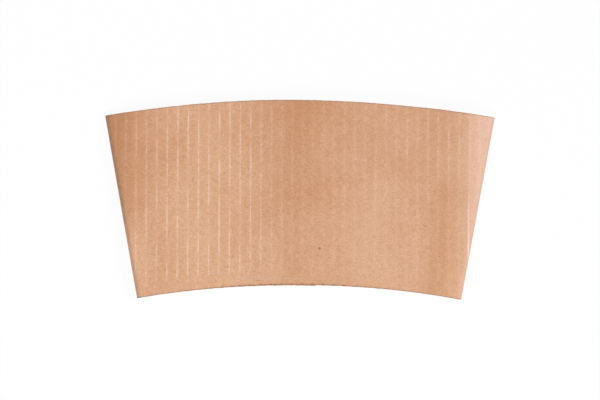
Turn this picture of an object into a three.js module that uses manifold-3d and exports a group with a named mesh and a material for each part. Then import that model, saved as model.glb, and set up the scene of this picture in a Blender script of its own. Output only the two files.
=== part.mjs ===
// Corrugated kraft sleeve for a paper coffee cup, lying folded flat as it leaves its pack.
// One blank of single-face board: a smooth outer liner with a fluted medium glued inside it.
// The blank is folded over at both sides, and its two ends are lapped and glued behind.
// Millimetres. +X right, +Y towards the wide rim, +Z up out of the front panel.

import * as THREE from 'three';
import { mergeVertices } from 'three/addons/utils/BufferGeometryUtils.js';
import Module from 'manifold-3d';

const wasm = await Module();
wasm.setup();

// Outline of the folded sleeve: the front panel is a sector of a ring about one apex.
const wideRimRadius = 364.4;
const sleeveHeight = 62.2;
const panelAngle = THREE.MathUtils.degToRad(20.66);

// The board.
const linerThickness = 0.28;
const mediumThickness = 0.2;
const fluteRise = 1.0;
const flutePitch = 3.484;
const firstGlueLine = 0.77; // where the glue line nearest the middle lies
const glueLineWidth = 0.56;
const fluteTipWidth = 0.95;
const flankStart = 0.63; // from a glue line's middle to where the flute's flank gets steep
const flankEnd = 0.93;
const flankShare = 0.2; // share of the rise before the steep stretch and after it

// How the front panel lies over the back: it sags a little beside the glued lap, is lifted
// over it, and turns down to each fold from a shoulder that follows a glue line.
const leftShoulderHeight = 3.95;
const leftRiseHeight = 4.1;
const leftRisePlace = -46;
const sagHeight = 3.7;
const sagPlace = -17;
const lapRiseHeight = 4.25;
const lapRisePlace = 6;
const rightRiseHeight = 4.4;
const rightRisePlace = 47;
const rightShoulderHeight = 4.25;
const shoulderFlutes = 16; // flutes from the middle out to a shoulder
const foldedCornerHeight = 2.2;

// The two side folds.
const foldReach = 1.4; // how far the bend reaches out past the flat of the panel
const foldSteps = 6;
const foldFlute = 0.45; // share of the flute's rise that is left in the bend
const foldCrushWidth = 4;
const panelClearance = 0.4; // kept between the front's flutes and the back's

// The glued seam in the middle of the back.
const seamOverlap = 12.4;
const seamFlute = 0.55; // share of the flute's rise that is left where the seam was pressed
const seamRampWidth = 4;
const seamRampStart = 1; // from the end of the outer flap to the foot of the inner flap's ramp
const glueSink = 0.14; // how deep the outer flap's flute tips are set in the inner flap's liner
const lapOffset = 0.6; // how far out of line the inner flap's rims lie at the lap

const narrowRimRadius = wideRimRadius - sleeveHeight;
const halfPanel = panelAngle / 2;
const boardFlat = linerThickness + mediumThickness; // thickness with the flutes pressed shut
const foldLength = Math.PI * foldReach;
const cornerX = wideRimRadius * Math.sin(halfPanel);
const seamFloor = boardFlat + seamFlute * fluteRise - glueSink; // underside of the inner flap
const seamHalfAngle = seamOverlap / (wideRimRadius + narrowRimRadius);
const midRadius = (wideRimRadius + narrowRimRadius) / 2;
const rampFoot = -seamOverlap / 2 - seamRampStart - seamRampWidth; // past the back's middle line
const sameCorner = 0.001; // corners nearer than this are one

// Half of the medium's wave, on its face towards the liner. Each corner has a distance from the
// glue line's middle, a share of the rise there, and the slope of the stretch that follows it.
const halfWave = [
  { across: glueLineWidth / 2, share: 0 },
  { across: flankStart, share: flankShare },
  { across: flankEnd, share: 1 - flankShare },
  { across: (flutePitch - fluteTipWidth) / 2, share: 1 },
];
halfWave.forEach((corner, k) => {
  const next = halfWave[k + 1] ?? { across: flutePitch / 2, share: 1 };
  corner.slope = Math.atan2((next.share - corner.share) * fluteRise, next.across - corner.across);
});

// Both faces of the medium over half a flute, the inner one a thickness away at right angles.
const mediumFaces = { towardsLiner: [], inner: [] };
halfWave.forEach(({ across, share, slope }, k) => {
  const slopeBefore = halfWave[k - 1]?.slope ?? 0;
  const mitre = mediumThickness / Math.cos((slope - slopeBefore) / 2);
  const turn = (slope + slopeBefore) / 2;
  const depth = linerThickness + share * fluteRise;
  const inner = { across: across - Math.sin(turn) * mitre, depth: depth + Math.cos(turn) * mitre };
  mediumFaces.towardsLiner.push({ across, depth, share });
  mediumFaces.inner.push({ ...inner, share });
});

// Section across one flute, from a glue line's middle to the next one's: x runs across the
// board and y is the depth below its outer face. The channel is the hole in it.
function fluteSection(flute, side) {
  const at = (across, depth) => new THREE.Vector2(
    firstGlueLine + side * (flute * flutePitch + across), depth,
  );
  const wholeWave = (half) => [
    ...half.map(({ across, depth }) => at(across, depth)),
    ...half.map(({ across, depth }) => at(flutePitch - across, depth)).reverse(),
  ];
  const outline = [
    at(0, 0),
    at(0, boardFlat),
    ...wholeWave(mediumFaces.inner),
    at(flutePitch, boardFlat),
    at(flutePitch, 0),
  ];
  if (side > 0) outline.reverse(); // anticlockwise on both halves
  const section = new THREE.Shape(outline);
  section.holes.push(new THREE.Path(wholeWave(mediumFaces.towardsLiner)));
  return section;
}

// The share of the flute's rise that a corner of the section has, found by its depth.
function riseShare(depth) {
  const corners = [...mediumFaces.towardsLiner, ...mediumFaces.inner];
  const corner = corners.find((one) => Math.abs(one.depth - depth) < sameCorner);
  return corner ? corner.share : 0;
}

// The flat half blank: the sections run along the flutes from the narrow rim to the wide one.
// Its points are across (u), along the flutes from the apex (v) and deep (w), and carry their
// share of the flute's rise. Its faces are lists of points, with the walls as quads.
function flatHalf(side) {
  const farthest = wideRimRadius * Math.sin(2 * halfPanel + seamHalfAngle) + 2 * foldLength;
  const fluteCount = Math.ceil(farthest / flutePitch);
  const points = [];
  const faces = [];
  const known = new Map();
  const pointAt = (u, w, share) => {
    const key = [u.toFixed(3), w.toFixed(3), share].join();
    if (!known.has(key)) {
      const near = Math.sqrt(narrowRimRadius ** 2 - u ** 2);
      const far = Math.sqrt(wideRimRadius ** 2 - u ** 2);
      known.set(key, points.length);
      points.push({ u, v: near + (far - near) * share, w, rise: riseShare(w) });
    }
    return known.get(key);
  };
  for (let flute = 0; flute < fluteCount; flute += 1) {
    const section = fluteSection(flute, side);
    const run = new THREE.ExtrudeGeometry(section, { depth: 1, steps: 1, bevelEnabled: false });
    const place = run.getAttribute('position');
    const corners = [];
    for (let i = 0; i < place.count; i += 1) {
      corners.push(pointAt(place.getX(i), place.getY(i), place.getZ(i)));
    }
    const [rims, walls] = run.groups;
    for (let i = rims.start; i < rims.start + rims.count; i += 3) faces.push(corners.slice(i, i + 3));
    for (let i = walls.start; i < walls.start + walls.count; i += 6) {
      const wall = [corners[i], corners[i + 1], corners[i + 4], corners[i + 2]];
      if (!isBetweenFlutes(wall.map((corner) => points[corner].u), fluteCount, side)) faces.push(wall);
    }
  }
  return { points, faces };
}

// The walls between neighbouring sections are left out, which makes them one board.
function isBetweenFlutes(across, fluteCount, side) {
  const width = Math.max(...across) - Math.min(...across);
  const flute = side * (across[0] - firstGlueLine) / flutePitch;
  const nearest = Math.round(flute);
  const isAtEnd = Math.abs(flute - nearest) * flutePitch < sameCorner;
  return width < sameCorner && isAtEnd && nearest > 0 && nearest < fluteCount;
}

// Adds edges where a straight line crosses the blank, so that it can bend there.
// distance(point) is the signed distance from that line.
function scoreAlong(mesh, distance) {
  const snap = 0.02;
  const reach = mesh.points.map((point) => {
    const d = distance(point);
    return Math.abs(d) < snap ? 0 : d;
  });
  const made = new Map();
  const crossing = (a, b) => {
    const [low, high] = a < b ? [a, b] : [b, a];
    const key = `${low}_${high}`;
    if (!made.has(key)) {
      const share = reach[low] / (reach[low] - reach[high]);
      const from = mesh.points[low];
      const to = mesh.points[high];
      const mix = (name) => from[name] + (to[name] - from[name]) * share;
      made.set(key, mesh.points.length);
      mesh.points.push({ u: mix('u'), v: mix('v'), w: mix('w'), rise: mix('rise') });
    }
    return made.get(key);
  };
  mesh.faces = mesh.faces.flatMap((face) => {
    const sides = face.map((i) => Math.sign(reach[i]));
    if (!sides.includes(1) || !sides.includes(-1)) return [face];
    const outer = [];
    const inner = [];
    face.forEach((corner, k) => {
      const next = (k + 1) % face.length;
      if (sides[k] >= 0) outer.push(corner);
      if (sides[k] <= 0) inner.push(corner);
      if (sides[k] * sides[next] < 0) {
        const onLine = crossing(corner, face[next]);
        outer.push(onLine);
        inner.push(onLine);
      }
    });
    return [outer, inner];
  });
}

// Cuts every face into triangles along its shortest diagonals, so that the two faces of a ply
// are divided alike and keep their distance where the board is warped.
function trianglesOf(mesh) {
  const distance = (a, b) => Math.hypot(
    mesh.points[a].u - mesh.points[b].u,
    mesh.points[a].v - mesh.points[b].v,
    mesh.points[a].w - mesh.points[b].w,
  );
  return mesh.faces.flatMap((face) => {
    const left = [...face];
    const triangles = [];
    while (left.length > 3) {
      const after = (k) => left[(k + 1) % left.length];
      const diagonals = left.map((_, k) => distance(left.at(k - 1), after(k)));
      const ear = diagonals.indexOf(Math.min(...diagonals));
      triangles.push(left.at(ear - 1), left[ear], after(ear));
      left.splice(ear, 1);
    }
    return [...triangles, ...left];
  });
}

// The glue line along which the front panel turns down towards a fold.
function shoulderAt(side) {
  return firstGlueLine + side * shoulderFlutes * flutePitch;
}

// The front panel's line across the flutes: places and heights of its outer face.
const frontLine = [
  [-cornerX, foldedCornerHeight],
  [shoulderAt(-1), leftShoulderHeight],
  [leftRisePlace, leftRiseHeight],
  [sagPlace, sagHeight],
  [lapRisePlace, lapRiseHeight],
  [rightRisePlace, rightRiseHeight],
  [shoulderAt(1), rightShoulderHeight],
  [cornerX, foldedCornerHeight],
];

function frontHeight(x) {
  const last = frontLine.length - 1;
  const passed = frontLine.filter(([place]) => place <= x).length;
  const next = THREE.MathUtils.clamp(passed, 1, last);
  const [from, low] = frontLine[next - 1];
  const [to, high] = frontLine[next];
  const share = (x - from) / (to - from);
  const isTurnedDown = next === 1 || next === last;
  return low + (high - low) * (isTurnedDown ? share : THREE.MathUtils.smoothstep(share, 0, 1));
}

function panelFlute(x) {
  if (x >= shoulderAt(-1) && x <= shoulderAt(1)) return 1;
  const room = (frontHeight(x) - panelClearance) / 2 - boardFlat;
  return THREE.MathUtils.clamp(room / fluteRise, foldFlute, 1);
}

// Distances of a blank point from the fold's outermost line: along it and across it.
function fromFold(u, v) {
  return {
    along: Math.abs(u) * Math.sin(halfPanel) + v * Math.cos(halfPanel),
    across: Math.abs(u) * Math.cos(halfPanel) - v * Math.sin(halfPanel),
  };
}

// Place in plan of a point that lies across from the fold's outermost line, on the given side.
function planPlace(along, across, side) {
  return {
    x: side * (along * Math.sin(halfPanel) + across * Math.cos(halfPanel)),
    y: along * Math.cos(halfPanel) - across * Math.sin(halfPanel),
  };
}

function backPlace(point, side) {
  const { along, across } = fromFold(point.u, point.v);
  const pastBend = across + foldReach - foldLength;
  const offset = side < 0 ? lapOffset * pastBend / cornerX : 0;
  return planPlace(along - offset, -foldReach - pastBend, side);
}

// Distance past the middle line of the back, measured round the apex at half the height.
function pastSeam(point, side) {
  const { x, y } = backPlace(point, side);
  return -side * Math.atan2(x, y) * midRadius;
}

// Depth of a point where the flutes keep only a share of their rise.
function pressedDepth(point, flute) {
  return point.w - point.rise * (1 - flute) * fluteRise;
}

// Bends one blank point to its place in the folded sleeve.
function foldPoint(point, side) {
  const { along, across } = fromFold(point.u, point.v);
  const intoBend = across + foldReach;
  const fromBend = Math.max(-intoBend, intoBend - foldLength, 0);
  const foldedFlute = foldFlute + (1 - foldFlute) * fromBend / foldCrushWidth;

  if (intoBend <= 0) {
    const depth = pressedDepth(point, Math.min(foldedFlute, panelFlute(point.u)));
    return [point.u, point.v, frontHeight(point.u) - depth];
  }

  if (intoBend < foldLength) {
    const turn = Math.PI * intoBend / foldLength;
    const top = frontHeight(planPlace(along, -foldReach, side).x);
    const depth = pressedDepth(point, foldFlute);
    const normal = new THREE.Vector2(Math.sin(turn) * top / 2, Math.cos(turn) * foldReach);
    normal.setLength(depth);
    const { x, y } = planPlace(along, foldReach * (Math.sin(turn) - 1) - normal.x, side);
    return [x, y, top / 2 * (1 + Math.cos(turn)) - normal.y];
  }

  const { x, y } = backPlace(point, side);
  const intoRamp = pastSeam(point, side) - rampFoot;
  const seamed = THREE.MathUtils.clamp(intoRamp / seamRampWidth, 0, 1);
  const seamedFlute = 1 - (1 - seamFlute) * seamed;
  const depth = pressedDepth(point, Math.min(foldedFlute, panelFlute(x), seamedFlute));
  const isInnerFlap = side < 0;
  return [x, y, depth + (isInnerFlap ? seamFloor * seamed : 0)];
}

// The mesh gets an edge along every line where the board bends or its flutes start to close.
function scoreHalf(mesh, side) {
  const foldLines = [-foldCrushWidth, foldLength + foldCrushWidth];
  for (let step = 0; step <= foldSteps; step += 1) foldLines.push(foldLength * step / foldSteps);
  foldLines.forEach((line) => {
    scoreAlong(mesh, (point) => fromFold(point.u, point.v).across + foldReach - line);
  });
  scoreAlong(mesh, (point) => backPlace(point, side).x - shoulderAt(side));
  [rampFoot, rampFoot + seamRampWidth].forEach((line) => {
    const angle = line / midRadius;
    scoreAlong(mesh, (point) => {
      const { x, y } = backPlace(point, side);
      return -side * x * Math.cos(angle) - y * Math.sin(angle);
    });
  });
}

function foldedHalf(side) {
  const mesh = flatHalf(side);
  scoreHalf(mesh, side);
  const half = new wasm.Manifold(new wasm.Mesh({
    numProp: 3,
    vertProperties: new Float32Array(mesh.points.flatMap((point) => foldPoint(point, side))),
    triVerts: new Uint32Array(trianglesOf(mesh)),
  }));
  return half.subtract(beyondFlap(side));
}

// What is cut off the far end of a flap: all of it past the seam's lap.
function beyondFlap(side) {
  const far = wideRimRadius * 1.2;
  const shape = new THREE.Shape([
    new THREE.Vector2(0, 0),
    new THREE.Vector2(-side * Math.sin(seamHalfAngle) * far, Math.cos(seamHalfAngle) * far),
    new THREE.Vector2(-side * far, Math.cos(seamHalfAngle) * far),
    new THREE.Vector2(-side * far, 0),
  ]);
  const geometry = new THREE.ExtrudeGeometry(shape, { depth: 3 * rightRiseHeight, bevelEnabled: false });
  geometry.translate(0, 0, -rightRiseHeight);
  return toSolid(geometry);
}

function toSolid(geometry) {
  geometry.deleteAttribute('normal');
  geometry.deleteAttribute('uv');
  const merged = mergeVertices(geometry, 1e-5);
  return new wasm.Manifold(new wasm.Mesh({
    numProp: 3,
    vertProperties: new Float32Array(merged.getAttribute('position').array),
    triVerts: new Uint32Array(merged.getIndex().array),
  }));
}

function toGeometry(solid) {
  const mesh = solid.getMesh();
  const geometry = new THREE.BufferGeometry();
  geometry.setAttribute('position', new THREE.BufferAttribute(new Float32Array(mesh.vertProperties), 3));
  geometry.setIndex(new THREE.BufferAttribute(new Uint32Array(mesh.triVerts), 1));
  geometry.computeVertexNormals();
  return geometry;
}

function makeSleeve() {
  const geometry = toGeometry(foldedHalf(-1).add(foldedHalf(1)));
  geometry.computeBoundingBox();
  const middle = geometry.boundingBox.getCenter(new THREE.Vector3());
  geometry.translate(-middle.x, -middle.y, -geometry.boundingBox.min.z);
  const kraft = new THREE.MeshStandardMaterial({ color: 0xd8a785, roughness: 0.9, metalness: 0 });
  const mesh = new THREE.Mesh(geometry, kraft);
  mesh.name = 'sleeve';
  return mesh;
}

const model = new THREE.Group();
model.add(makeSleeve());

export default model;
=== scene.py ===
# Looks of a corrugated kraft cup sleeve that lies folded flat.
# Lengths in the dictionaries are millimetres, and the objects are in metres.

import math

import bpy
from mathutils import Euler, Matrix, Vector, noise


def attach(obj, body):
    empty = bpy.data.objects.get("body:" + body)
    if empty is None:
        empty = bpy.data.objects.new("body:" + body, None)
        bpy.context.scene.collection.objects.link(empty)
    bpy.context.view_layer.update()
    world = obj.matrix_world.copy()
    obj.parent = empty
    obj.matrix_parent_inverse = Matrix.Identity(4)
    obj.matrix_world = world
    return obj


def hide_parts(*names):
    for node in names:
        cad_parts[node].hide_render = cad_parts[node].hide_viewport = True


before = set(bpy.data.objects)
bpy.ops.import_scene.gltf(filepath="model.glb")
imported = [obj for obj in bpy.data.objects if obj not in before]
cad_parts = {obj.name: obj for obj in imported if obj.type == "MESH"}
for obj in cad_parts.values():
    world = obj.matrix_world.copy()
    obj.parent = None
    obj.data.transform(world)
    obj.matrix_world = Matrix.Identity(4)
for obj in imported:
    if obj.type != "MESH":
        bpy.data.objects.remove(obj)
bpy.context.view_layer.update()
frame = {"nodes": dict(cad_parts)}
mm = 0.001
print("frame loaded, nodes:", ", ".join(frame["nodes"]))

# The blank of single-face board, with the sizes of the part's source.
board = {
    "wideRim": 364.4,  # radius of the wide rim about the apex where both folds meet
    "narrowRim": 302.5,  # 0.3 more than the part's, to meet the photo's edge
    "panelAngle": 20.66,  # degrees between the folds
    "liner": 0.28,
    "medium": 0.2,
    "fluteRise": 1.0,
    "flutePitch": 3.484,
    "firstGlueLine": 1.07,
    "columnsPerFlute": 10,
    "rows": 22,  # faces from rim to rim
    "linerFray": 0.08,  # how rough the cut rims are
    "mediumFray": 0.1,
    "frayLength": 0.9,
    "frayBack": 0.6,  # share of the fray by which the rims are set back
    "fraySeeds": (7.1, 1.3),
    "smoothAngle": 38,  # degrees
}

# How the board is folded and glued.
folding = {
    "reach": 1.4,  # how far a bend reaches out past the flat of the panel
    "fluteShare": 0.45,  # share of the flute's rise that is left in the bend
    "crushWidth": 4,
    "clearance": 0.4,
    "overlap": 12.4,
    "pressedShare": 0.55,  # share of the rise that is left at the glued lap
    "outerPressedShare": 0.41,
    "rampWidth": 4,
    "rampStart": 1,
    "lapOffset": 0.15,
    "lapFloor": 0.89,  # height of the inner flap's underside at the lap
}

# The front panel's line across the flutes: places and heights of its outer face.
frontPanel = {
    "stations": [(-54.974, 3.95), (-46, 4.1), (-17, 3.7), (6, 4.25), (47, 4.37), (56.514, 4.25)],
    "cornerHeight": 2.2,
    "leftRoll": 1.7,  # 1 turns down straight from the shoulder, 2 in a round
    "rightRoll": 1.15,
    "washboard": 0.008,
    "billow": 0.02,
    "billowLengths": (21, 24),  # across and along the flutes
    "billowSeed": 3.7,
    "billowEdge": 6,  # width in which the billows die down beside a fold
    # how far the wide rim's cut strays from a true arc, at places across the flutes
    "rimDrift": [
        (-66, 0.3), (-48, 0.04), (-18, 0), (18, -0.24), (34, -0.3), (50, -0.06), (66, 0.16),
    ],
    "driftPower": 3,  # how soon the straying dies down away from the rim
}

half = math.radians(board["panelAngle"]) / 2
sinHalf = math.sin(half)
cosHalf = math.cos(half)
midRadius = (board["wideRim"] + board["narrowRim"]) / 2
apexY = -330.848  # place of that apex in the part's frame
cornerX = board["wideRim"] * sinHalf
foldLength = math.pi * folding["reach"]
boardFlat = board["liner"] + board["medium"]
seamHalfAngle = folding["overlap"] / (board["wideRim"] + board["narrowRim"])
rampFoot = -folding["overlap"] / 2 - folding["rampStart"] - folding["rampWidth"]
leftX, leftZ = frontPanel["stations"][0]
rightX, rightZ = frontPanel["stations"][-1]
blankUnit = 100  # millimetres of the blank in one unit of its UV map


def clamp(value, low=0.0, high=1.0):
    return min(max(value, low), high)


def smooth(share):
    share = clamp(share)
    return share * share * (3 - 2 * share)


# The value at a place, eased from each station to the next.
def easedBetween(stations, place):
    for (start, low), (end, high) in zip(stations, stations[1:]):
        if place <= end:
            return low + (high - low) * smooth((place - start) / (end - start))
    return stations[-1][1]


def frontHeight(x):
    corner = frontPanel["cornerHeight"]
    if x < leftX:
        turned = clamp((leftX - x) / (leftX + cornerX))
        return leftZ - (leftZ - corner) * turned ** frontPanel["leftRoll"]
    if x > rightX:
        turned = clamp((x - rightX) / (cornerX - rightX))
        return rightZ - (rightZ - corner) * turned ** frontPanel["rightRoll"]
    return easedBetween(frontPanel["stations"], x)


def rimDrift(u):
    stations = frontPanel["rimDrift"]
    if stations[0][0] <= u <= stations[-1][0]:
        return easedBetween(stations, u)
    return 0.0


def frontSlope(x, side):
    step = 0.05
    return side * (frontHeight(x - step) - frontHeight(x + step)) / (2 * step)


def panelShare(x):
    if leftX <= x <= rightX:
        return 1.0
    room = (frontHeight(x) - folding["clearance"]) / 2 - boardFlat
    return clamp(room / board["fluteRise"], folding["fluteShare"])


def planPlace(along, across, side):
    x = side * (along * sinHalf + across * cosHalf)
    return x, along * cosHalf - across * sinHalf


# Carries a point of the flat blank to its place in the folded sleeve. u runs across the
# flutes, v along them from the apex, and the depth is the liner's part plus a share of the rise.
def foldedPlace(u, v, depth, rise):
    side = 1 if u >= 0 else -1
    along = abs(u) * sinHalf + v * cosHalf
    across = abs(u) * cosHalf - v * sinHalf
    reach = folding["reach"]
    intoBend = across + reach
    fromBend = max(-intoBend, intoBend - foldLength, 0)
    kept = 1 - folding["fluteShare"]
    foldedShare = folding["fluteShare"] + kept * smooth(fromBend / folding["crushWidth"])

    if intoBend <= 0:
        total = depth + rise * min(foldedShare, panelShare(u))
        lengthAcross, lengthAlong = frontPanel["billowLengths"]
        spot = Vector((u / lengthAcross, v / lengthAlong, frontPanel["billowSeed"]))
        billow = noise.noise(spot) * frontPanel["billow"] - frontPanel["billow"]
        height = frontHeight(u) + billow * smooth(fromBend / frontPanel["billowEdge"])
        return Vector((u, v + apexY, height - total)) * mm

    if intoBend < foldLength:
        turn = math.pi * intoBend / foldLength
        startX = planPlace(along, -reach, side)[0]
        top = frontHeight(startX)
        slope = frontSlope(startX, side)
        total = depth + rise * folding["fluteShare"]
        outwards = Vector((math.sin(turn) * top / 2, math.cos(turn) * reach)).normalized() * total
        x, y = planPlace(along, reach * (math.sin(turn) - 1) - outwards.x, side)
        carry = slope * reach * math.sin(turn) * (1 + math.cos(turn)) / 2
        return Vector((x, y + apexY, top / 2 * (1 + math.cos(turn)) - carry - outwards.y)) * mm

    pastBend = intoBend - foldLength
    offset = folding["lapOffset"] * pastBend / cornerX if side < 0 else 0
    x, y = planPlace(along - offset, -reach - pastBend, side)
    pastSeam = -side * math.atan2(x, y) * midRadius
    seamed = smooth((pastSeam - rampFoot) / folding["rampWidth"])
    pressed = folding["pressedShare"] if side < 0 else folding["outerPressedShare"]
    total = depth + rise * min(foldedShare, panelShare(x), 1 - (1 - pressed) * seamed)
    lifted = folding["lapFloor"] * seamed if side < 0 else 0
    return Vector((x, y + apexY, total + lifted)) * mm


def deselectAll():
    bpy.ops.object.select_all(action="DESELECT")


def activate(piece):
    deselectAll()
    piece.select_set(True)
    bpy.context.view_layer.objects.active = piece


# Cuts a flap off along the straight line from the apex where its glued lap ends.
def cutFlap(piece, side):
    bpy.ops.object.mode_set(mode="EDIT")
    bpy.ops.mesh.select_mode(type="FACE")
    bpy.ops.mesh.select_all(action="DESELECT")
    bpy.ops.object.mode_set(mode="OBJECT")
    blankU = piece.data.attributes["blankU"].data
    for face in piece.data.polygons:
        face.select = side * blankU[face.vertices[0]].value > cornerX + 2 * foldLength
    bpy.ops.object.mode_set(mode="EDIT")
    angle = -side * seamHalfAngle
    bpy.ops.mesh.bisect(
        plane_co=(0, apexY * mm, 0),
        plane_no=(-side * math.cos(angle), side * math.sin(angle), 0),
        clear_outer=True,
    )
    bpy.ops.object.mode_set(mode="OBJECT")


# One ply of the board: a grid over the flat blank, folded, cut at its two flaps and thickened.
# The wall grows to the inside with the offset -1 and to both sides with 0.
def makePly(name, thickness, wallOffset, depthAt, fray):
    deselectAll()
    reachU = board["wideRim"] * math.sin(2 * half + seamHalfAngle) + foldLength
    columns = round(2 * reachU / board["flutePitch"] * board["columnsPerFlute"])
    bpy.ops.mesh.primitive_grid_add(x_subdivisions=columns, y_subdivisions=board["rows"], size=2)
    ply = bpy.context.object
    ply.name = name
    sheet = ply.data
    sheet.name = name
    blankU = sheet.attributes.new("blankU", "FLOAT", "POINT")
    rimSeed, seed = board["fraySeeds"]
    atRim = 0.001
    places = []
    for corner in sheet.vertices:
        u = corner.co.x * reachU
        near = math.sqrt(board["narrowRim"] ** 2 - u * u)
        far = math.sqrt(board["wideRim"] ** 2 - u * u)
        share = (corner.co.y + 1) / 2
        v = near + (far - near) * share
        places.append((u, v))
        spot = Vector((u / board["frayLength"], rimSeed * round(share), seed))
        rough = (noise.noise(spot) - board["frayBack"]) * fray
        if share < atRim:
            v -= rough
        elif share > 1 - atRim:
            v += rough
        v += rimDrift(u) * share ** frontPanel["driftPower"]
        depth, rise = depthAt(u)
        corner.co = foldedPlace(u, v, depth, rise)
        blankU.data[corner.index].value = u
    flat = sheet.uv_layers.active
    flat.name = "blank"
    for loop in sheet.loops:
        u, v = places[loop.vertex_index]
        flat.data[loop.index].uv = (u / blankUnit, v / blankUnit)

    activate(ply)
    cutFlap(ply, 1)
    cutFlap(ply, -1)
    wall = ply.modifiers.new("wall", "SOLIDIFY")
    wall.thickness = thickness * mm
    wall.offset = wallOffset
    wall.use_rim = True
    wall.material_offset_rim = 1
    bpy.ops.object.modifier_apply(modifier="wall")
    sheet.attributes.remove(sheet.attributes["blankU"])
    bpy.ops.object.shade_smooth_by_angle(angle=math.radians(board["smoothAngle"]))
    print(name, "made of", len(sheet.polygons), "faces")
    return ply


# 1 at a glue line and -1 at a flute's tip.
def fluteWave(u):
    return math.cos(2 * math.pi * (u - board["firstGlueLine"]) / board["flutePitch"])


def linerDepth(u):
    return frontPanel["washboard"] * (1 + fluteWave(u)), 0.0


def mediumDepth(u):
    return board["liner"] + board["medium"] / 2, board["fluteRise"] * (1 - fluteWave(u)) / 2


# Colours of the board, as sRGB from 0 to 255.
kraft = {
    "pale": (229, 182, 149),
    "brown": (204, 147, 107),
    "medium": (176, 128, 91),
    "cut": (150, 112, 84),
    "line": (240, 206, 189),
    "fleck": (120, 76, 50),
    # painted shadow in the open flutes' ends
    "mouthShadow": (104, 72, 52),
    "paintedSheen": (230, 196, 178),  # painted sheen where the board rolls down to the right fold
    "rub": (212, 178, 164),
    "foldShade": (188, 148, 122),  # painted shade along the folds
}

# Fibres of the paper. A noise has a scale for each metre, a detail and a roughness.
paper = {
    "clouds": (260, 3, 0.6),
    "grain": (1500, 3, 0.7),
    # fibres laid at these turns in degrees, with a scale for each axis
    "weave": {"turns": (2, 88, 137), "scales": (600, 2600, 1500), "apart": 0,
              "detail": 2, "distortion": 0.4},
    "single": {"turns": (24, 67, 112, 158), "scales": (650, 2600, 900), "apart": 1,
               "detail": 1, "distortion": 0.9},
    "shares": (0.16, 0.34, 0.62),  # of the clouds, the grain and the weave in the mottle
    "singleLevels": (0.64, 0.76),  # where a single fibre starts and where it is full
    "fleckScale": 420,
    "fleckRagged": (3200, 0.12),  # scale and depth of the flecks' ragged edges
}
noiseLevels = (0.3, 0.7)  # levels between which a noise mostly stays

# Paleness of the liner. Widths are shares of the panel from its left end, and heights from its
# low end. Where there are two, it has gone at the first and is full at the second.
tones = {
    # The bands are partly the board's own tone and partly painted light and shade: browner where
    # the panel slopes away from the lamp, paler where it faces it.
    "bands": [(0.0, -0.2), (0.06, 0.1), (0.13, 0.55), (0.3, 0.8), (0.41, 0.55), (0.5, 0.28),
              (0.6, 0.5), (0.7, 0.74), (0.86, 0.58), (1.0, 0.85)],  # left to right
    # painted shade and light in streaks along the flutes: middle, lean and reach as widths, two
    # heights, how much paler
    "paintedShading": [
        (0.84, 0.06, 0.07, 0.8, 0.3, -0.45),
        (0.5, 0, 0.08, 0.4, 0.9, -0.16),
        (0.44, 0, 0.06, 0.45, 0.2, 0.24),
    ],
    "panelDepth": 67,  # from the low end to the upper one
    "cloudScale": 60,
    "cloudLevels": (0.2, 0.8),
    "clouds": 0.16,
    "lowEnd": 0.1,  # how much paler the low end is, and how much darker the upper one
    # Painted light at the lower left, where the panel rolls down away from the lamp.
    "rollWidths": (0.16, 0.05),  # the lower left, where the panel rolls down
    "rollHeights": (0.5, 0.2),
    "roll": 0.75,
    "washboard": 0.035,  # how much paler the board is over each glue line
    "mottle": 2.4,  # how far the fibres move the colour between brown and pale
    "mottleMiddle": 0.6,
    "grainNoise": (2100, 1, 0.6),
    "grain": 0.3,
    "grainDark": 0.72,  # share of the brown's light that is left in the grain
    "fleckSize": 0.07,
    "flecks": 0.45,
    "strands": 0.2,  # how dark the single fibres are
    "roughLevels": (0.84, 0.7),
    "bump": 0.02,
}

# Pale dashed lines where the flutes are glued to the liner.
glue = {
    "strength": 0.76,
    "bands": [(0.0, 0.1), (0.07, 0.4), (0.15, 0.75), (0.28, 1.05), (0.38, 0.75), (0.43, 0.2),
              (0.56, 0.08), (0.66, 0.26), (0.8, 0.42), (0.93, 0.6), (1.0, 0.4)],  # left to right
    "faintWidths": (0.55, 0.7),  # the lower right, where the lines are faint
    "faintHeights": (0.75, 0.4),
    "faint": 0.6,
    "strayScale": 9.0,
    "stray": 0.09,
    "edges": (0.1, 0.03),  # shares of the pitch where a line ends and where it is full
    "lineSeed": 7.31,
    # long and short dashes: scale along the line, detail, levels of the noise, least strength
    "dashes": [(11.0, 1, 0.36, 0.58, 0.2), (70.0, 2, 0.38, 0.6, 0.4)],
    "fromRim": (3.6, 5.6),  # distances from the narrow rim where the lines start
}

# Darkening along the cut rims, partly dark cut fibres and partly painted shadow, and painted shadow
# in the open flutes' ends at the middle of the narrow one.
rims = {
    "darkFrom": (0.42, 0.08),  # distances from a rim where the dark has gone and where it is full
    "dark": 0.72,
    "mouthEdges": (0.15, 0.05),  # shares of the pitch
    "mouthFrom": (0.42, 0.2),
    "mouthMiddle": -2.5,
    "mouthReach": (22, 17),
    "mouthShadow": 0.8,
}

# Painted shade along the folds, painted sheen beside the right one, and rubbed arcs above the
# narrow rim.
rubsAndPaintedShading = {
    "foldFrom": (1.9, 0.1),  # distances from a fold where the painted shade has gone and where it is full
    "fold": 0.55,
    "foldLowerLeftLight": 0.35,  # how much more of the fold is painted where the panel rolls down, in pale there as painted light
    "sheenWidths": (0.89, 0.98),
    "sheenLevels": (0.3, 0.65),
    "paintedSheen": 0.58,
    "rubEdges": (0.3, 0.1),
    # rubbed arcs: distance from the rim, from and to across the flutes, strength
    "rubs": [(4.9, -31, -22, 0.5), (2.9, -23, -10, 0.35), (2.1, -21, 1, 0.4)],
}


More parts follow.
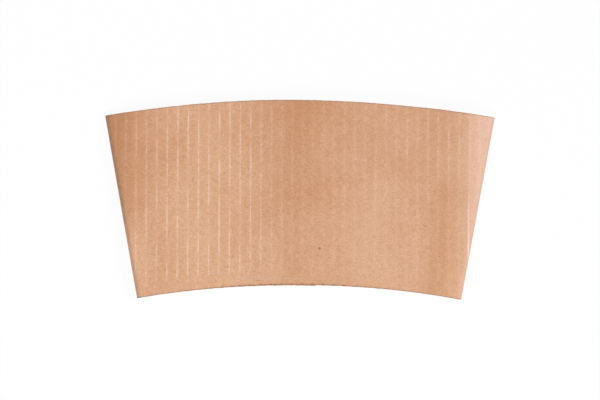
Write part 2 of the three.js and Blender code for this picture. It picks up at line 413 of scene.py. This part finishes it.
# A colour for a shader's socket, with a share of its light.
def linear(colour, light=1.0):
    steps = [c / 255 for c in colour]
    lights = [c / 12.92 if c <= 0.04045 else ((c + 0.055) / 1.055) ** 2.4 for c in steps]
    return (*(min(c * light, 1) for c in lights), 1)


# Adds a node, sets its values by socket name or number, and returns it.
def addNode(tree, kind, values=None, **settings):
    made = tree.nodes.new(kind)
    for name, value in settings.items():
        setattr(made, name, value)
    for socket, value in (values or {}).items():
        if isinstance(value, bpy.types.NodeSocket):
            tree.links.new(value, made.inputs[socket])
        else:
            made.inputs[socket].default_value = value
    return made


# One operation over any number of values, taken in turn.
def calculate(tree, operation, value, *others):
    for other in others or (0.0,):
        value = addNode(
            tree, "ShaderNodeMath", {0: value, 1: other}, operation=operation,
        ).outputs[0]
    return value


def remap(tree, value, fromLow, fromHigh, toLow=0.0, toHigh=1.0):
    levels = {"From Min": fromLow, "From Max": fromHigh, "To Min": toLow, "To Max": toHigh}
    return addNode(
        tree, "ShaderNodeMapRange", {"Value": value, **levels}, interpolation_type="SMOOTHSTEP",
    ).outputs["Result"]


def addNoise(tree, vector, scale, detail=2.0, roughness=0.5, distortion=0.0):
    return addNode(
        tree, "ShaderNodeTexNoise",
        {"Vector": vector, "Scale": scale, "Detail": detail, "Roughness": roughness,
         "Distortion": distortion},
    ).outputs[0]


def joinXY(tree, x, y):
    return addNode(tree, "ShaderNodeCombineXYZ", {"X": x, "Y": y}).outputs[0]


def vectorLength(tree, vector):
    return addNode(
        tree, "ShaderNodeVectorMath", {0: vector}, operation="LENGTH",
    ).outputs["Value"]


def mixColours(tree, share, first, second):
    return addNode(
        tree, "ShaderNodeMix", {0: share, 6: first, 7: second}, data_type="RGBA",
    ).outputs[2]


def bandRamp(tree, value, bands):
    ramp = addNode(tree, "ShaderNodeValToRGB", {"Fac": value})
    stops = ramp.color_ramp
    stops.interpolation = "B_SPLINE"
    while len(stops.elements) < len(bands):
        stops.elements.new(0.5)
    for stop, (place, level) in zip(stops.elements, bands):
        stop.position = place
        stop.color = (level, level, level, 1)
    return ramp.outputs["Color"]


# Noise stretched into fibres that lie at several turns, of which the strongest shows.
def addFibreNoise(tree, vector, look):
    laid = []
    for turn in look["turns"]:
        stretched = addNode(
            tree, "ShaderNodeMapping",
            {"Vector": vector, "Location": (turn * look["apart"], 0, 0),
             "Rotation": (0, 0, math.radians(turn)),
             "Scale": tuple(1 / scale for scale in look["scales"])},
            vector_type="TEXTURE",
        ).outputs[0]
        laid.append(addNoise(tree, stretched, 1.0, look["detail"], 0.5, look["distortion"]))
    return calculate(tree, "MAXIMUM", *laid)


# Paper: a mottle of soft clouds, fine grain and woven fibres, single dark fibres, and flecks.
def makeFibreGroup():
    group = bpy.data.node_groups.new("kraftFibres", "ShaderNodeTree")
    sockets = group.interface
    sockets.new_socket("Vector", in_out="INPUT", socket_type="NodeSocketVector")
    for name, usual in (("Scale", 1.0), ("Fleck Size", 0.1)):
        made = sockets.new_socket(name, in_out="INPUT", socket_type="NodeSocketFloat")
        made.default_value = usual
    for name in ("Mottle", "Flecks", "Strands"):
        sockets.new_socket(name, in_out="OUTPUT", socket_type="NodeSocketFloat")
    entry = group.nodes.new("NodeGroupInput")
    leave = group.nodes.new("NodeGroupOutput")
    sized = addNode(
        group, "ShaderNodeVectorMath",
        {0: entry.outputs["Vector"], "Scale": entry.outputs["Scale"]}, operation="SCALE",
    ).outputs[0]

    clouds = addNoise(group, sized, *paper["clouds"])
    grain = addNoise(group, sized, *paper["grain"])
    weave = addFibreNoise(group, sized, paper["weave"])
    shares = zip((clouds, grain, weave), paper["shares"])
    mottle = [calculate(group, "MULTIPLY", level, share) for level, share in shares]
    group.links.new(calculate(group, "ADD", *mottle), leave.inputs["Mottle"])

    single = addFibreNoise(group, sized, paper["single"])
    group.links.new(remap(group, single, *paper["singleLevels"]), leave.inputs["Strands"])

    raggedScale, raggedDepth = paper["fleckRagged"]
    cells = addNode(group, "ShaderNodeTexVoronoi", {"Vector": sized, "Scale": paper["fleckScale"]})
    ragged = calculate(group, "MULTIPLY", addNoise(group, sized, raggedScale, 1), raggedDepth)
    away = calculate(group, "ADD", cells.outputs["Distance"], ragged)
    flecks = calculate(group, "LESS_THAN", away, entry.outputs["Fleck Size"])
    group.links.new(flecks, leave.inputs["Flecks"])
    return group


fibreGroup = makeFibreGroup()


# Where a point lies on the flat blank: across the flutes in millimetres, along them in units
# of the UV map, and out from the apex in millimetres.
def blankPlaces(tree):
    blank = addNode(tree, "ShaderNodeUVMap", uv_map="blank").outputs[0]
    parts = addNode(tree, "ShaderNodeSeparateXYZ", {0: blank})
    across = calculate(tree, "MULTIPLY", parts.outputs["X"], blankUnit)
    radius = calculate(tree, "MULTIPLY", vectorLength(tree, blank), blankUnit)
    return across, parts.outputs["Y"], radius


# How many flutes a place lies from the first glue line.
def countFlutes(tree, across):
    shifted = calculate(tree, "SUBTRACT", across, board["firstGlueLine"])
    return calculate(tree, "DIVIDE", shifted, board["flutePitch"])


# Number of the nearest glue line, and how far away it is as a share of the pitch.
def nearestLine(tree, across):
    flute = countFlutes(tree, across)
    number = calculate(tree, "ROUND", flute)
    return number, calculate(tree, "ABSOLUTE", calculate(tree, "SUBTRACT", flute, number))


# Glue lines on the liner, thin, broken and uneven.
def glueLines(tree, across, along, radius):
    drift = addNoise(tree, joinXY(tree, across, along), glue["strayScale"])
    stray = remap(tree, drift, *noiseLevels, -glue["stray"], glue["stray"])
    number, away = nearestLine(tree, calculate(tree, "ADD", across, stray))
    own = calculate(tree, "MULTIPLY", number, glue["lineSeed"])
    dashes = []
    for scale, detail, goneAt, fullAt, least in glue["dashes"]:
        spot = joinXY(tree, own, calculate(tree, "MULTIPLY", along, scale))
        dashes.append(remap(tree, addNoise(tree, spot, 1.0, detail), goneAt, fullAt, least))
    broken = calculate(tree, "MULTIPLY", *dashes)
    inside = remap(tree, radius, *(board["narrowRim"] + gap for gap in glue["fromRim"]))
    return calculate(tree, "MULTIPLY", remap(tree, away, *glue["edges"]), broken, inside)


# Dark along the cut rims: partly the cut fibres' own colour, partly painted shadow.
def rimDarkAndShadow(tree, radius):
    toWide = calculate(tree, "SUBTRACT", board["wideRim"], radius)
    toNarrow = calculate(tree, "SUBTRACT", radius, board["narrowRim"])
    return remap(tree, calculate(tree, "MINIMUM", toWide, toNarrow), *rims["darkFrom"])


# Painted shade in a band along each of the two folds.
def foldShadeLines(tree, parts):
    sideways = calculate(tree, "ABSOLUTE", parts.outputs["X"])
    across = calculate(tree, "MULTIPLY", sideways, cosHalf / mm)
    out = calculate(tree, "SUBTRACT", calculate(tree, "DIVIDE", parts.outputs["Y"], mm), apexY)
    fromFold = calculate(tree, "SUBTRACT", calculate(tree, "MULTIPLY", out, sinHalf), across)
    return remap(tree, fromFold, *rubsAndPaintedShading["foldFrom"])


# Painted shadow in the open flutes' ends, as short dark dashes at the middle of the narrow rim.
def fluteMouthShadows(tree, across, radius):
    mouthShadow = remap(tree, nearestLine(tree, across)[1], *rims["mouthEdges"])
    toNarrow = calculate(tree, "SUBTRACT", radius, board["narrowRim"])
    fromMiddle = calculate(tree, "SUBTRACT", across, rims["mouthMiddle"])
    middle = remap(tree, calculate(tree, "ABSOLUTE", fromMiddle), *rims["mouthReach"])
    return calculate(tree, "MULTIPLY", mouthShadow, remap(tree, toNarrow, *rims["mouthFrom"]), middle)


def addFibres(tree, vector, scale, fleckSize):
    values = {"Vector": vector, "Scale": scale, "Fleck Size": fleckSize}
    return addNode(tree, "ShaderNodeGroup", values, node_tree=fibreGroup)


def startMaterial(name, roughness):
    material = bpy.data.materials.new(name)
    material.use_nodes = True
    tree = material.node_tree
    shader = tree.nodes["Principled BSDF"]
    shader.inputs["Roughness"].default_value = roughness
    shader.inputs["Specular IOR Level"].default_value = 0.25
    place = tree.nodes.new("ShaderNodeTexCoord").outputs["Object"]
    return material, tree, shader, place


def addBump(tree, shader, height, distance):
    values = {"Height": height, "Distance": distance * mm, "Strength": 1.0}
    tree.links.new(addNode(tree, "ShaderNodeBump", values).outputs[0], shader.inputs["Normal"])


# Marks that the photographed sleeve shows, the last one a painted highlight: place, half length and
# half width, turn in degrees, colour and strength.
marks = [
    ((6.8, -16.2), (0.5, 0.42), 0, (128, 80, 52), 0.75),
    ((42.0, -8.6), (0.8, 0.16), -20, (140, 92, 64), 0.5),
    ((46.2, 16.3), (0.5, 0.22), 10, (240, 210, 192), 0.4),
    # A painted highlight: the glint of a flute line where the panel curves down to the right fold.
    ((56.5, -10.2), (0.3, 12.5), 0, (244, 216, 200), 0.55),
]
markEdges = (1.2, 0.5)  # shares of a mark's size where it ends and where it is full
frontLow = 3.0  # the front panel is all above this height, and the back below it


def addMark(tree, place, colour, mark):
    (x, y), (halfLength, halfWidth), turn, markColour, strength = mark
    turned = addNode(
        tree, "ShaderNodeMapping",
        {"Vector": place, "Location": (x * mm, y * mm, 0),
         "Rotation": (0, 0, math.radians(turn)),
         "Scale": (halfLength * mm, halfWidth * mm, 1)},
        vector_type="TEXTURE",
    ).outputs[0]
    flat = addNode(
        tree, "ShaderNodeVectorMath", {0: turned, 1: (1, 1, 0)}, operation="MULTIPLY",
    ).outputs[0]
    height = addNode(tree, "ShaderNodeSeparateXYZ", {0: place}).outputs["Z"]
    onFront = calculate(tree, "GREATER_THAN", height, frontLow * mm)
    shape = remap(tree, vectorLength(tree, flat), *markEdges, 0, strength)
    share = calculate(tree, "MULTIPLY", shape, onFront)
    return mixColours(tree, share, colour, linear(markColour))


# How pale the liner is, from 0 for brown to 1 for pale, with painted light and shade in it.
def linerTone(tree, place, width, height, paintedLightLowerLeft, across, mottle):
    clouds = addNoise(tree, place, tones["cloudScale"])
    clouds = remap(tree, clouds, *tones["cloudLevels"], -tones["clouds"], tones["clouds"])
    lowEnd = remap(tree, height, 0, 1, tones["lowEnd"], -tones["lowEnd"])
    pale = [bandRamp(tree, width, tones["bands"]), clouds, lowEnd]
    pale.append(calculate(tree, "MULTIPLY", paintedLightLowerLeft, tones["roll"]))
    for centre, lean, reach, goneAt, fullAt, amount in tones["paintedShading"]:
        slant = calculate(tree, "ADD", width, calculate(tree, "MULTIPLY", height, -lean))
        aside = calculate(tree, "ABSOLUTE", calculate(tree, "SUBTRACT", slant, centre))
        shape = remap(tree, aside, reach, 0), remap(tree, height, goneAt, fullAt)
        pale.append(calculate(tree, "MULTIPLY", *shape, amount))
    turn = calculate(tree, "MULTIPLY", countFlutes(tree, across), 2 * math.pi)
    wave = calculate(tree, "COSINE", turn)
    pale.append(calculate(tree, "MULTIPLY", wave, tones["washboard"]))
    spread = calculate(tree, "SUBTRACT", mottle, tones["mottleMiddle"])
    pale.append(calculate(tree, "MULTIPLY", spread, tones["mottle"]))
    return calculate(tree, "ADD", *pale)


def makeLinerMaterial():
    material, tree, shader, place = startMaterial("kraftLiner", 0.78)
    across, along, radius = blankPlaces(tree)
    parts = addNode(tree, "ShaderNodeSeparateXYZ", {0: place})
    width = calculate(tree, "DIVIDE", parts.outputs["X"], 2 * cornerX * mm)
    width = calculate(tree, "ADD", width, 0.5)
    height = calculate(tree, "DIVIDE", parts.outputs["Y"], tones["panelDepth"] * mm)
    height = calculate(tree, "ADD", height, 0.5)
    fibres = addFibres(tree, place, 1.0, tones["fleckSize"])
    mottle = fibres.outputs["Mottle"]

    def onPanel(widths, heights):
        shares = remap(tree, width, *widths), remap(tree, height, *heights)
        return calculate(tree, "MULTIPLY", *shares)

    def cover(colour, share, name):
        return mixColours(tree, share, colour, linear(kraft[name]))

    # Painted light at the lower left, where the rolled-down panel faces away from the lamp.
    paintedLightLowerLeft = onPanel(tones["rollWidths"], tones["rollHeights"])
    tone = linerTone(tree, place, width, height, paintedLightLowerLeft, across, mottle)
    colour = mixColours(tree, tone, linear(kraft["brown"]), linear(kraft["pale"]))
    grain = addNoise(tree, place, *tones["grainNoise"])
    grain = remap(tree, grain, *noiseLevels, tones["grain"], 0)
    colour = mixColours(tree, grain, colour, linear(kraft["brown"], tones["grainDark"]))
    strands = calculate(tree, "MULTIPLY", fibres.outputs["Strands"], tones["strands"])
    colour = cover(colour, strands, "fleck")

    faint = onPanel(glue["faintWidths"], glue["faintHeights"])
    faint = calculate(tree, "MULTIPLY", faint, glue["faint"])
    lines = calculate(
        tree, "MULTIPLY", glueLines(tree, across, along, radius),
        bandRamp(tree, width, glue["bands"]), calculate(tree, "SUBTRACT", 1, faint),
    )
    colour = cover(colour, calculate(tree, "MULTIPLY", lines, glue["strength"]), "line")

    # Painted sheen where the panel rolls down towards the lamp at the right fold, patchy with the
    # fibres.
    sheenShare = calculate(
        tree, "MULTIPLY", remap(tree, width, *rubsAndPaintedShading["sheenWidths"]),
        remap(tree, mottle, *rubsAndPaintedShading["sheenLevels"]), rubsAndPaintedShading["paintedSheen"],
    )
    colour = cover(colour, sheenShare, "paintedSheen")
    for offset, start, end, strength in rubsAndPaintedShading["rubs"]:
        fromArc = calculate(tree, "SUBTRACT", radius, board["narrowRim"] + offset)
        fromMiddle = calculate(tree, "SUBTRACT", across, (start + end) / 2)
        beside = remap(tree, calculate(tree, "ABSOLUTE", fromArc), *rubsAndPaintedShading["rubEdges"])
        fromMiddle = calculate(tree, "ABSOLUTE", fromMiddle)
        within = remap(tree, fromMiddle, (end - start) / 2, (end - start) / 3)
        rub = calculate(tree, "MULTIPLY", beside, within, strength)
        colour = cover(colour, rub, "rub")
    # Painted shade along the folds, turned pale at the lower left as painted light.
    foldShadeColour = cover(linear(kraft["foldShade"]), paintedLightLowerLeft, "pale")
    foldShade = calculate(tree, "MULTIPLY", paintedLightLowerLeft, rubsAndPaintedShading["foldLowerLeftLight"])
    foldShade = calculate(tree, "ADD", rubsAndPaintedShading["fold"], foldShade)
    foldShade = calculate(tree, "MULTIPLY", foldShadeLines(tree, parts), foldShade)
    colour = mixColours(tree, foldShade, colour, foldShadeColour)

    flecks = calculate(tree, "MULTIPLY", fibres.outputs["Flecks"], tones["flecks"])
    colour = cover(colour, flecks, "fleck")
    for mark in marks:
        colour = addMark(tree, place, colour, mark)
    colour = cover(colour, calculate(tree, "MULTIPLY", rimDarkAndShadow(tree, radius), rims["dark"]), "cut")
    mouthShadows = calculate(tree, "MULTIPLY", fluteMouthShadows(tree, across, radius), rims["mouthShadow"])
    colour = cover(colour, mouthShadows, "mouthShadow")
    tree.links.new(colour, shader.inputs["Base Color"])

    rough = remap(tree, mottle, *noiseLevels, *tones["roughLevels"])
    tree.links.new(rough, shader.inputs["Roughness"])
    addBump(tree, shader, calculate(tree, "ADD", mottle, lines), tones["bump"])
    return material


# Plain fibrous board, for the medium and for all cut edges.
plain = {
    "roughness": 0.85,
    "fleckSize": 0.08,
    "flecks": 0.5,
    "dark": 0.72,  # shares of the colour's light between which the fibres move it
    "light": 1.2,
    "mottleLevels": (0.36, 0.62),
}


def makePlainMaterial(name, colour, scale, bump):
    material, tree, shader, place = startMaterial(name, plain["roughness"])
    fibres = addFibres(tree, place, scale, plain["fleckSize"])
    tone = remap(tree, fibres.outputs["Mottle"], *plain["mottleLevels"])
    mixed = mixColours(tree, tone, linear(colour, plain["dark"]), linear(colour, plain["light"]))
    flecks = calculate(tree, "MULTIPLY", fibres.outputs["Flecks"], plain["flecks"])
    mixed = mixColours(tree, flecks, mixed, linear(kraft["fleck"]))
    tree.links.new(mixed, shader.inputs["Base Color"])
    addBump(tree, shader, fibres.outputs["Mottle"], bump)
    return material


liner = makePly("liner", board["liner"], -1, linerDepth, board["linerFray"])
medium = makePly("medium", board["medium"], 0, mediumDepth, board["mediumFray"])

linerFace = makeLinerMaterial()
cutEdge = makePlainMaterial("cutEdge", kraft["cut"], 1.6, 0.05)
mediumFace = makePlainMaterial("kraftMedium", kraft["medium"], 0.8, 0.04)
for ply, face in ((liner, linerFace), (medium, mediumFace)):
    ply.data.materials.append(face)
    ply.data.materials.append(cutEdge)
print("materials made")

deselectAll()
medium.select_set(True)
liner.select_set(True)
bpy.context.view_layer.objects.active = liner
bpy.ops.object.join()
sleeve = liner
sleeve.name = "folded_sleeve"
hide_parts("sleeve")
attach(sleeve, "root")
print("sleeve joined")

# Floor, light and camera.
studio = {
    "floorSize": 6.0,  # metres
    "floorDrop": 0.02,  # keeps the floor clear of the sleeve's underside
    "floorColour": (0.9, 0.9, 0.9, 1),
    "floorRoughness": 0.9,
    "floorWhite": 0.95,  # share of plain white in what the camera sees of the floor
    "sunFrom": (0.82, -0.12, 0.56),
    "sunAngle": 16,  # degrees across, for soft shadows
    "sunPower": 2.2,
    "fillPlace": (-0.15, -1.1, 1.1),
    "fillSize": 0.9,
    "fillPower": 18.0,
    "world": 0.13,  # how strongly the white world lights the sleeve
}


# 1 for a ray that looks at the white around the sleeve, and 0 for one that only brings light.
def looking(tree):
    rays = tree.nodes.new("ShaderNodeLightPath")
    kinds = ("Is Camera Ray", "Is Glossy Ray", "Is Transmission Ray")
    return calculate(tree, "MAXIMUM", *(rays.outputs[kind] for kind in kinds))


def makeFloorMaterial():
    material = bpy.data.materials.new("whiteFloor")
    material.use_nodes = True
    tree = material.node_tree
    surface = tree.nodes["Principled BSDF"]
    surface.inputs["Base Color"].default_value = studio["floorColour"]
    surface.inputs["Roughness"].default_value = studio["floorRoughness"]
    white = addNode(tree, "ShaderNodeEmission", {"Color": (1, 1, 1, 1), "Strength": 1.0})
    share = calculate(tree, "MULTIPLY", looking(tree), studio["floorWhite"])
    mixed = addNode(
        tree, "ShaderNodeMixShader", {0: share, 1: surface.outputs[0], 2: white.outputs[0]},
    )
    tree.links.new(mixed.outputs[0], tree.nodes["Material Output"].inputs["Surface"])
    return material


def turnToSleeve(lamp):
    lamp.rotation_euler = lamp.location.to_track_quat("Z", "Y").to_euler()


deselectAll()
bpy.ops.mesh.primitive_plane_add(
    size=studio["floorSize"], location=(0, 0, -studio["floorDrop"] * mm),
)
floor = bpy.context.object
floor.name = "floor"
floor.data.materials.append(makeFloorMaterial())

bpy.ops.object.light_add(type="SUN", location=studio["sunFrom"])
sun = bpy.context.object
sun.name = "windowLight"
sun.data.energy = studio["sunPower"]
sun.data.angle = math.radians(studio["sunAngle"])
turnToSleeve(sun)

bpy.ops.object.light_add(type="AREA", location=studio["fillPlace"])
fill = bpy.context.object
fill.name = "fillLight"
fill.data.shape = "DISK"
fill.data.size = studio["fillSize"]
fill.data.energy = studio["fillPower"]
turnToSleeve(fill)

world = bpy.data.worlds.new("paleStudio")
world.use_nodes = True
sky = world.node_tree
background = sky.nodes["Background"]
background.inputs["Color"].default_value = (1, 1, 1, 1)
strength = calculate(sky, "MAXIMUM", looking(sky), studio["world"])
sky.links.new(strength, background.inputs["Strength"])
bpy.context.scene.world = world

view = {
    "distance": 804,  # from the front panel
    "tilt": 0.9,  # degrees from straight above, towards the narrow rim
    "lean": 0.5,  # towards the right
    "roll": 0.26,
    "lens": 144.35,
    "aim": (0.22, -0.1, 4.0),
}
turned = Euler((math.radians(view["tilt"]), math.radians(view["lean"]), math.radians(view["roll"])))
aim = Vector(view["aim"]) * mm
place = aim + turned.to_matrix() @ Vector((0, 0, view["distance"] * mm))
bpy.ops.object.camera_add(location=place, rotation=turned)
camera = bpy.context.object
camera.name = "photoCamera"
camera.data.lens = view["lens"]
bpy.context.scene.camera = camera
bpy.context.scene.view_settings.view_transform = "Standard"
print("studio ready")
